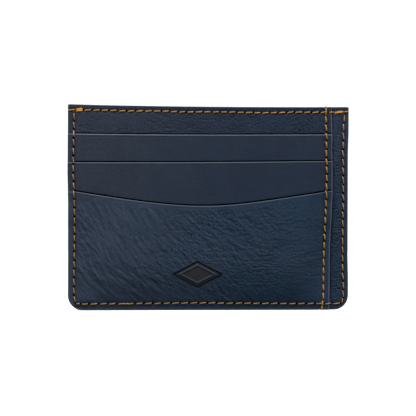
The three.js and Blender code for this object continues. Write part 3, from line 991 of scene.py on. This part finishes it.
class Nodes:
    """A short way to write a material's nodes. place is the point on the object."""

    def __init__(self, name):
        self.material = bpy.data.materials.new(name)
        self.material.use_nodes = True
        self.tree = self.material.node_tree
        self.shader = self.tree.nodes["Principled BSDF"]
        self.place = self.tree.nodes.new("ShaderNodeTexCoord").outputs["Object"]

    def feed(self, socket, value):
        if isinstance(value, bpy.types.NodeSocket):
            self.tree.links.new(value, socket)
        else:
            socket.default_value = value

    def shade(self, **values):
        """Sets or links the shader's own sockets, whose names have _ for each space."""
        for name, value in values.items():
            self.feed(self.shader.inputs[name.replace("_", " ")], value)

    def node(self, kind, inputs, output=0, **settings):
        """An output of a new node. inputs holds a value or a link for a socket's name or number."""
        made = self.tree.nodes.new("ShaderNode" + kind)
        for key, value in settings.items():
            setattr(made, key, value)
        for socket, value in inputs.items():
            self.feed(made.inputs[socket], value)
        return made.outputs[output]

    def mask(self, name):
        return self.node("Attribute", {}, "Fac", attribute_name=name)

    def noise(self, size, detail=3.0, output="Fac"):
        """Noise whose features are size millimetres across."""
        inputs = {"Scale": 1.0 / (size * MM), "Detail": detail, "Vector": self.place}
        return self.node("TexNoise", inputs, output)

    def cell_edges(self, size, place):
        """Distance to the nearest edge between cells that are size millimetres across."""
        inputs = {"Scale": 1.0 / (size * MM), "Vector": place}
        return self.node("TexVoronoi", inputs, "Distance", feature="DISTANCE_TO_EDGE")

    def ribs(self, width, degrees):
        """Waves width millimetres apart, turned in the plane of the cloth."""
        turn = (0.0, math.radians(degrees), 0.0)
        turned = self.node("Mapping", {"Vector": self.place, "Rotation": turn})
        inputs = {"Scale": 0.5 / (width * MM), "Vector": turned}
        return self.node("TexWave", inputs, "Fac", wave_profile="SIN")

    def math(self, operation, a, b, clamp=False):
        return self.node("Math", {0: a, 1: b}, operation=operation, use_clamp=clamp)

    def spread(self, value, from_low, from_high, to_low, to_high):
        """value, carried from one span to another and kept inside it."""
        return self.node("MapRange", {0: value, 1: from_low, 2: from_high, 3: to_low, 4: to_high})

    def mix(self, factor, a, b):
        return self.node("Mix", {0: factor, 6: a, 7: b}, 2, data_type="RGBA")

    def bump(self, height, distance, strength, normal=None):
        """A bump of up to distance millimetres, on top of another where normal is given."""
        inputs = {"Strength": strength, "Distance": distance * MM, "Height": height}
        if normal is not None:
            inputs["Normal"] = normal
        return self.node("Bump", inputs)


def leather(name, wear_and_sheen, fresh, roughness, grain, grain_size):
    """Dyed leather: a greyer colour at the left, a painted sheen of the light on that side, that
    turns to fresh navy at the right, bluer clouds in the dye, mottling, fine pores and grain,
    darker seams, painted shade in the creases, needle holes, crevices and bottom margin, and a
    painted edge with a painted highlight, from the masks on the mesh."""
    n = Nodes(name)
    dark = tuple(0.35 * c for c in fresh[:3]) + (1.0,)
    # Painted sheen: the colour turns lighter and greyer towards the left, as the light from that
    # side would make it.
    across = n.node("SeparateXYZ", {"Vector": n.place}, "X")
    fade = n.spread(across, 0.8 * LEFT * MM, 0.25 * RIGHT * MM, 0.0, 1.0)
    bluer = (0.45 * fresh[0], 0.92 * fresh[1], fresh[2], 1.0)
    clouds = n.spread(n.noise(13.0, 2.0), 0.42, 0.64, 0.0, 0.7)
    colour = n.mix(fade, wear_and_sheen, n.mix(clouds, fresh, bluer))
    cloudy = n.spread(n.noise(9.0, 4.0), 0.3, 0.7, 0.0, 0.22)
    colour = n.mix(cloudy, colour, dark)
    speckle = n.spread(n.noise(0.5, 2.0), 0.35, 0.65, 0.0, 0.34)
    colour = n.mix(speckle, colour, dark)
    # Painted shade in the creases and the bottom margin.
    crease_shade = n.math("MULTIPLY", n.mask("crease_shade"), 0.55)
    colour = n.mix(crease_shade, colour, dark)
    colour = n.mix(n.math("MULTIPLY", n.mask("seam"), 0.35), colour, dark)
    colour = n.mix(n.mask("stamp"), colour, STAMP_COLOUR)
    # Painted shade in the crevices over the mouths, on the walls of the pressed mark and beside the
    # stack's edge.
    colour = n.mix(n.mask("crevice_shade"), colour, CREVICE_SHADE_COLOUR)
    # Edge paint with a painted highlight along the mouths and the stack's raw edge.
    colour = n.mix(n.mask("rim"), colour, EDGE_PAINT_AND_HIGHLIGHT)
    # Painted shade in the needle holes.
    hole = n.spread(n.mask("hole"), 0.25, 0.45, 0.0, 1.0)
    colour = n.mix(hole, colour, HOLE_SHADE_COLOUR)
    n.shade(Base_Color=colour)
    rough = n.spread(n.noise(1.6, 3.0), 0.3, 0.7, roughness - 0.06, roughness + 0.08)
    rough = n.math("SUBTRACT", rough, n.math("MULTIPLY", n.mask("rim"), 0.16))
    n.shade(Roughness=n.math("ADD", rough, n.math("MULTIPLY", crease_shade, 0.15)))
    unlit = n.math("MAXIMUM", hole, n.mask("crevice_shade"))
    n.shade(Specular_IOR_Level=n.spread(unlit, 0.0, 1.0, 0.2, 0.0))
    bent = n.mix(0.12, n.place, n.noise(1.0 / 0.9, 2.0, "Color"))
    pores = n.spread(n.cell_edges(grain_size, bent), 0.0, 0.22, 0.0, 1.0)
    fine = n.noise(0.22, 3.0)
    smooth_areas = n.math("SUBTRACT", 1.0, n.math("MAXIMUM", n.mask("rim"), n.mask("stamp")), True)
    normal = n.bump(n.math("MULTIPLY", pores, smooth_areas), grain, 0.8)
    n.shade(Normal=n.bump(n.math("MULTIPLY", fine, smooth_areas), 0.5 * grain, 0.7, normal))
    return n.material


def lining_cloth():
    """A fine twill: slanting ribs crossed by a finer weave."""
    n = Nodes("lining_twill")
    weave = n.math("MULTIPLY", n.ribs(0.55, 55.0), n.spread(n.ribs(0.3, -35.0), 0.0, 1.0, 0.7, 1.0))
    colour = n.mix(weave, LINING_DARK, LINING_LIGHT)
    wear_and_sheen = n.spread(n.noise(7.0), 0.3, 0.7, 0.0, 0.35)
    n.shade(Base_Color=n.mix(wear_and_sheen, colour, LINING_DARK))
    n.shade(Roughness=n.spread(weave, 0.0, 1.0, 0.95, 0.8), Normal=n.bump(weave, 0.05, 0.8))
    n.shade(Specular_IOR_Level=0.2, Sheen_Weight=0.2)
    return n.material


def tan_thread():
    """Glossy twisted polyester: a fibre bump along the plies and a deeper colour where a seam is
    sewn over more than once."""
    n = Nodes("tan_twisted_thread")
    patchy = n.spread(n.noise(0.9, 2.0), 0.3, 0.7, 0.0, 1.0)
    colour = n.mix(patchy, THREAD_DARK, THREAD_LIGHT)
    colour = n.mix(n.math("MULTIPLY", n.mask("heavy"), 0.8), colour, THREAD_HEAVY)
    n.shade(Base_Color=colour, Roughness=n.spread(n.noise(0.15), 0.3, 0.7, 0.42, 0.6))
    n.shade(Specular_IOR_Level=0.45, Sheen_Weight=0.15, Sheen_Roughness=0.4)
    n.shade(Normal=n.bump(n.noise(0.07), 0.03, 0.8))
    return n.material


# Edge paint, lightened into a painted highlight.
EDGE_PAINT_AND_HIGHLIGHT = srgb(80, 89, 103)
STAMP_COLOUR = srgb(42, 44, 48)
# The painted shade of crevices.
CREVICE_SHADE_COLOUR = srgb(2, 3, 5)
# The painted shade of the needle holes.
HOLE_SHADE_COLOUR = (0.0008, 0.0008, 0.001, 1.0)
WHITE = (1.0, 1.0, 1.0, 1.0)
LINING_DARK = srgb(20, 24, 32)
LINING_LIGHT = srgb(40, 47, 60)
THREAD_DARK = srgb(134, 100, 42)
THREAD_LIGHT = srgb(176, 138, 70)
THREAD_HEAVY = srgb(222, 142, 26)

# The first leather colour holds a painted sheen of the light from the left.
SMOOTH = leather("smooth_navy_leather", srgb(42, 52, 68), srgb(25, 41, 63), 0.5, 0.04, 0.45)
STRIP = leather("strip_navy_leather", srgb(42, 52, 68), srgb(31, 47, 70), 0.5, 0.03, 0.45)
PEBBLED = leather("pebbled_navy_leather", srgb(51, 64, 84), srgb(31, 52, 74), 0.52, 0.03, 0.5)
CLOTH = lining_cloth()
THREAD = tan_thread()

# ---------------------------------------------------------------- the sheets

SEAM_STEP = 0.16
GRAIN_STEP = 0.28
POCKET_STEP = 0.33
SMOOTH_STEP = 0.42
CLOTH_STEP = 0.9
UNSEEN_STEP = 1.2

edge_holes = SEAMS["edge"].holes
left_rows = [z for x, z in edge_holes if x < LEFT_SEAM_X + 1]
right_rows = [z for x, z in edge_holes if x > RIGHT_SEAM_X - 1]
bottom_columns = [x for x, z in edge_holes if z < BOTTOM_SEAM_Z + 1]
top_columns = [x for x, z in SEAMS["top"].holes]
stack_rows = [z for x, z in SEAMS["stack"].holes]
left_band, right_band, top_band, bottom_band = (
    (middle, 0.7, SEAM_STEP) for middle in (LEFT_SEAM_X, RIGHT_SEAM_X, TOP_SEAM_Z, BOTTOM_SEAM_Z))
stack_band = (stack_seam(HEIGHT / 2) + 0.1, 0.9, SEAM_STEP)


def scaled_rows(low, high, coarse, bands=()):
    """Grid rows from low to high as fractions of the sheet's height."""
    lines = grid_lines(low, high, coarse, bands)
    return (lines - low) / (high - low)


def crevice_band(mouth):
    return (mouth + 0.2, 1.1, 0.12)


def only(values, low, high):
    return [value for value in values if low < value < high]


def build_body():
    """The two full-size panels, and the slot panel on the front one."""
    whole = Outline(LEFT, level(RIGHT), outline_bottom, outline_top)
    nicked = Outline(LEFT, level(RIGHT), nicked_bottom, nicked_top)
    us = grid_lines(LEFT, RIGHT, SMOOTH_STEP,
                    [left_band, right_band] + hole_bands(top_columns, step=0.2))
    vs = scaled_rows(BOTTOM, TOP, SMOOTH_STEP,
                     [top_band, bottom_band] + hole_bands(left_rows, step=0.22))
    build_sheet("back_panel", whole, us, vs, PEBBLED, back_relief,
                ("edge", "top"), flip=True)
    strip_band = (RIGHT - 4.0, 4.2, 0.25)
    us = grid_lines(LEFT, RIGHT, UNSEEN_STEP, [right_band, strip_band])
    vs = scaled_rows(BOTTOM, TOP, GRAIN_STEP, [top_band, bottom_band] + hole_bands(right_rows))
    build_sheet("base_panel", nicked, us, vs, STRIP,
                smooth_relief(grain=3.6), ("edge", "top"), skip=2)
    slot = Outline(LEFT, stack_edge, nicked_bottom, nicked_top)
    us = grid_lines(LEFT, stack_edge(HEIGHT / 2), GRAIN_STEP,
                    [left_band, stack_band] + hole_bands(top_columns))
    seen_band = (TOP - 5.0, 6.0, GRAIN_STEP)
    vs = scaled_rows(BOTTOM, TOP, UNSEEN_STEP, [top_band, seen_band, crevice_band(UPPER_MOUTH)])
    build_sheet("slot_panel", slot, us, vs, SMOOTH,
                smooth_relief(None, upper_mouth, 3.0), ("edge", "top", "stack"), skip=4)


def build_facing(node, mouth, paint_and_highlight, next_mouth, next_band):
    """The leather facing of the upper or the middle pocket, behind the next pocket's mouth."""
    low = cad_span(node)[0][2]
    outline = Outline(LEFT, stack_edge, level(low), mouth, cornered=False, mouth=paint_and_highlight)
    us = grid_lines(LEFT, stack_edge(HEIGHT / 2), SMOOTH_STEP, [left_band, stack_band])
    high = float(mouth(0.0))
    rows = only(left_rows, low, high) + only(stack_rows, low, high)
    bands = hole_bands(rows) + [(high - 1.0, 0.35, 0.1), next_band]
    vs = scaled_rows(low, high, SMOOTH_STEP, bands)
    build_sheet(node, outline, us, vs, SMOOTH, smooth_relief(mouth, next_mouth),
                ("edge", "stack"), skip=4)


def build_front_pocket():
    """The grained front pocket, with a finer grid round its pressed mark."""
    outline = Outline(LEFT, stack_edge, nicked_bottom, front_mouth, mouth=0.2)
    stamp_columns = (STAMP_CENTRE[0], STAMP_SIZE[0] / 2 + 0.3, 0.15)
    stamp_middle = BOTTOM + STAMP_CENTRE[1] * FRONT_MOUTH_RIGHT / front_mouth(STAMP_CENTRE[0])
    stamp_rows = (stamp_middle, STAMP_SIZE[1] / 2 + 0.9, 0.15)
    columns = only(bottom_columns, LEFT, stack_edge(BOTTOM))
    us = grid_lines(LEFT, stack_edge(HEIGHT / 2), POCKET_STEP,
                    [left_band, stack_band, stamp_columns] + hole_bands(columns, step=0.2))
    top = FRONT_MOUTH_RIGHT
    rows = only(left_rows, BOTTOM, top) + only(stack_rows, BOTTOM, top)
    vs = scaled_rows(BOTTOM, top, POCKET_STEP, hole_bands(rows, step=0.2)
                     + [bottom_band, stamp_rows, (top - 1.05, 0.35, 0.1)])
    build_sheet("front_pocket", outline, us, vs, PEBBLED,
                front_pocket_relief, ("edge", "stack"), skip=5)


def cloth_area(outline, us, vs):
    """Area of a flat piece of cloth with that outline, in square metres."""
    x, z = outline.place(*np.meshgrid(us, vs, indexing="ij"))
    dx, dz = np.diff(x[:, 0]), z[:, -1] - z[:, 0]
    return float(np.sum(dx * (dz[:-1] + dz[1:]) / 2)) * MM * MM


def build_linings():
    """The cloth, each piece built as a sheet that lies on the leather in front of it."""
    inset = LINING_INSET
    body = Outline(LEFT + inset, level(RIGHT - inset), lambda x: outline_bottom(x, inset),
                   lambda x: outline_top(x, inset), inset)

    def pocket_cloth(node, top):
        low, high = cad_span(node)
        return Outline(low[0], level(high[0]), level(low[2]), top, cornered=False)

    cloths = {
        "back_lining": (body, "back_panel"),
        "front_lining": (body, "base_panel"),
    }
    for name in ("upper", "middle"):
        node = name + "_pocket_lining"
        cloths[node] = (pocket_cloth(node, level(cad_span(node)[1][2])), name + "_pocket")
    lowest = "front_pocket_lining"
    below_mouth = FRONT_MOUTH_LEFT - cad_span(lowest)[1][2]
    cloths[lowest] = (pocket_cloth(lowest, lambda x: front_mouth(x) - below_mouth), "front_pocket")
    for node, (outline, on) in cloths.items():
        low, high = cad_span(node)
        us = grid_lines(low[0], high[0], CLOTH_STEP)
        vs = scaled_rows(low[2], high[2], CLOTH_STEP)
        piece = build_sheet(node, outline, us, vs, CLOTH, skip=2)
        cloth_area(outline, us, vs)


build_body()
# The mouths' edges are painted brightest on the upper pocket and faintest on the front one: edge
# paint with a painted highlight.
build_facing("upper_pocket", upper_mouth, 1.0, middle_mouth, crevice_band(MIDDLE_MOUTH))
lowest_mouth = float(front_mouth(np.linspace(LEFT, STACK_EDGE_TOP, 400)).min())
mouth_middle = (lowest_mouth + FRONT_MOUTH_RIGHT) / 2
build_facing("middle_pocket", middle_mouth, 0.7, front_mouth,
             (mouth_middle, FRONT_MOUTH_RIGHT - mouth_middle + 0.6, 0.15))
build_front_pocket()
build_linings()

# ---------------------------------------------------------------- the seams

tacked_ends = {0: 0.35, len(SEAMS["top"].holes) - 2: 0.16}
sew_top_seam("top_seam_needle_thread", front_surface, -1, 71, tacked_ends)
sew_top_seam("top_seam_bobbin_thread", face_of("front_lining", True), 1, 72)
sew_top_seam("back_top_seam_needle_thread", face_of("back_panel", True), 1, 73, tacked_ends)
sew_top_seam("back_top_seam_bobbin_thread", face_of("back_lining"), -1, 74)
sew_stack_seam()
sew_plain("stack_seam_bobbin_thread", SEAMS["stack"].holes, face_of("front_lining", True), 1, 75)
sew_edge_seam()
sew_plain("edge_seam_bobbin_thread", edge_holes, face_of("back_panel", True), 1, 77)
for pocket, seed in [("upper_pocket", 78), ("middle_pocket", 79)]:
    hidden_seam = pocket + "_seam_thread"
    sew_plain(hidden_seam, pocket_seam_holes(hidden_seam), face_of(pocket + "_lining"), -1, seed)

# ---------------------------------------------------------------- stage, light and camera


def plain_material(name, colour, glow):
    """A matte material that also glows evenly, for the stage."""
    n = Nodes(name)
    n.shade(Base_Color=colour, Roughness=0.9, Emission_Color=WHITE, Emission_Strength=glow)
    return n.material


def build_stage():
    """A plain pale floor, and a white surround that only the camera sees."""
    bpy.ops.mesh.primitive_circle_add(vertices=96, radius=0.5, fill_type="NGON")
    floor = bpy.context.object
    floor.name = "floor"
    floor.data.materials.append(plain_material("pale_floor", (0.8, 0.8, 0.8, 1.0), 0.5))
    bpy.ops.mesh.primitive_uv_sphere_add(segments=48, ring_count=24, radius=2.5)
    surround = bpy.context.object
    surround.name = "surround"
    surround.data.materials.append(plain_material("white_surround", (0.0, 0.0, 0.0, 1.0), 1.1))
    surround.visible_shadow = False
    for unlit in (floor, surround):
        unlit.visible_diffuse = False
        unlit.visible_glossy = False


def softbox(name, place, target, size, power, colour=(1.0, 1.0, 1.0)):
    """A rectangular lamp that faces target, in metres and watts."""
    light = bpy.data.lights.new(name, "AREA")
    light.shape = "RECTANGLE"
    light.size, light.size_y = size
    light.energy = power
    light.color = colour
    lamp = bpy.data.objects.new(name, light)
    lamp.location = place
    lamp.rotation_euler = (Vector(target) - Vector(place)).to_track_quat("-Z", "Y").to_euler()
    bpy.context.scene.collection.objects.link(lamp)


def build_light():
    middle = (0.0, 0.0, 0.5 * HEIGHT * MM)
    softbox("key_softbox", (-0.12, -0.3, 0.66), middle, (0.4, 0.3), 6.9)
    softbox("left_softbox", (-0.22, -0.32, 0.06), middle, (0.1, 0.25), 0.3, (1.0, 0.9, 0.8))
    softbox("right_softbox", (0.6, -0.35, 0.15), middle, (0.35, 0.5), 2.2)
    softbox("back_softbox", (0.2, 0.7, 0.5), middle, (0.6, 0.5), 6.0)
    world = bpy.data.worlds.new("soft_surround")
    world.use_nodes = True
    background = world.node_tree.nodes["Background"]
    background.inputs["Color"].default_value = WHITE
    background.inputs["Strength"].default_value = 0.13
    bpy.context.scene.world = world


CAMERA_LENS = 85.0
CAMERA_SENSOR = 36.0
CAMERA_AWAY = 350.1
CAMERA_YAW = 3.3
CAMERA_ROLL = 0.2
CAMERA_TARGET = (-0.48, 0.0, 36.43)


def build_camera():
    """A long lens at the holder's own height, a little to the left of straight in front."""
    camera = bpy.data.objects.new("camera", bpy.data.cameras.new("camera"))
    camera.data.lens = CAMERA_LENS
    camera.data.sensor_width = CAMERA_SENSOR
    yaw = math.radians(CAMERA_YAW)
    back = Vector((-math.sin(yaw), -math.cos(yaw), 0.0))
    camera.location = (Vector(CAMERA_TARGET) + back * CAMERA_AWAY) * MM
    turn = (-back).to_track_quat("-Z", "Y").to_matrix().to_4x4()
    turn = turn @ Matrix.Rotation(math.radians(CAMERA_ROLL), 4, "Z")
    camera.rotation_euler = turn.to_euler()
    camera.data.clip_start = 0.01
    bpy.context.scene.collection.objects.link(camera)
    bpy.context.scene.camera = camera


build_stage()
build_light()
build_camera()
bpy.context.scene.view_settings.view_transform = "Standard"
